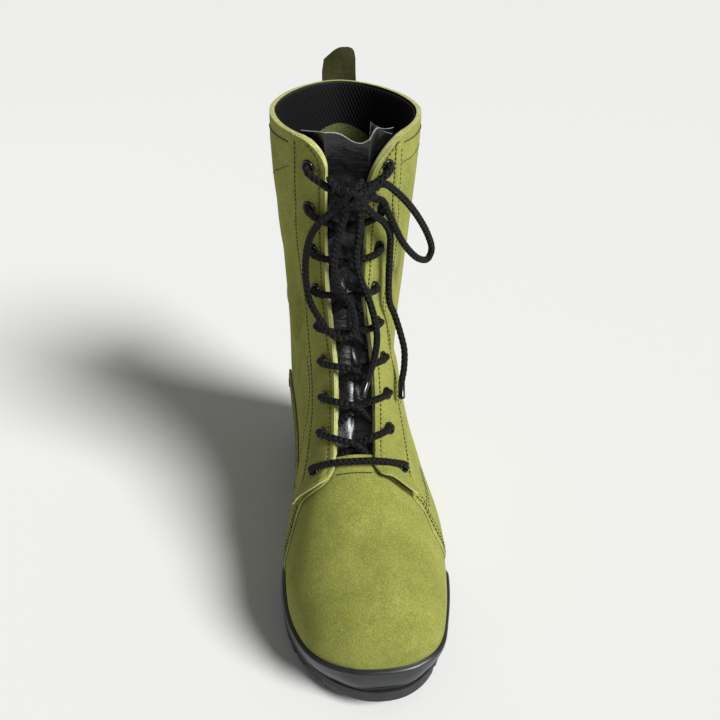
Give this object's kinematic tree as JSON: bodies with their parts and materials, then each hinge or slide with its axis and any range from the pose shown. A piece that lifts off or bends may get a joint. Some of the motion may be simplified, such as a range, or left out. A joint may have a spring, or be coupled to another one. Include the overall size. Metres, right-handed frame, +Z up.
{
  "type": "high lace-up work boot",
  "caption": "Round-toed high lace-up work boot for the left foot: suede upper, low lugged rubber sole, rubber toe guard, pull tab and tied round laces",
  "frame": {"origin": "on the floor at the middle of the heel's flat tread", "axes": "+Z up, the toe points along -Y, +X is the lateral side of this left boot"},
  "size_m": [0.1087, 0.2942, 0.3138],
  "materials": {
    "olive_suede": "napped olive suede with raw cut edges",
    "black_rubber": "moulded black rubber, semi-gloss",
    "black_leather": "smooth glossy black leather",
    "black_footbed": "black textile over foam",
    "black_enamel": "black enamelled eyelet",
    "black_braid": "round braided cord"
  },
  "bodies": {
    "root": {"arch_patch": "olive_suede", "eyelet_lateral_1": "black_enamel", "eyelet_lateral_2": "black_enamel", "eyelet_lateral_3": "black_enamel", "eyelet_lateral_4": "black_enamel", "eyelet_lateral_5": "black_enamel", "eyelet_lateral_6": "black_enamel", "eyelet_lateral_7": "black_enamel", "eyelet_lateral_8": "black_enamel", "eyelet_lateral_9": "black_enamel", "eyelet_medial_1": "black_enamel", "eyelet_medial_2": "black_enamel", "eyelet_medial_3": "black_enamel", "eyelet_medial_4": "black_enamel", "eyelet_medial_5": "black_enamel", "eyelet_medial_6": "black_enamel", "eyelet_medial_7": "black_enamel", "eyelet_medial_8": "black_enamel", "eyelet_medial_9": "black_enamel", "eyestay_lateral": "olive_suede", "eyestay_medial": "olive_suede", "insole": "black_footbed", "lace_bar": "black_braid", "lace_crossing_1": "black_braid", "lace_crossing_2": "black_braid", "lace_crossing_3": "black_braid", "lace_crossing_4": "black_braid", "lace_crossing_5": "black_braid", "lace_crossing_6": "black_braid", "lace_crossing_7": "black_braid", "lace_crossing_8": "black_braid", "lace_end_lateral": "black_braid", "lace_end_medial": "black_braid", "lace_knot": "black_braid", "lace_loop_lateral": "black_braid", "lace_loop_medial": "black_braid", "outsole": "black_rubber", "pull_tab": "olive_suede", "toe_bumper": "black_rubber", "tongue": "black_leather", "upper": "olive_suede", "vent_eyelet_front": "black_enamel", "vent_eyelet_rear": "black_enamel"}
  },
  "joints": []
}
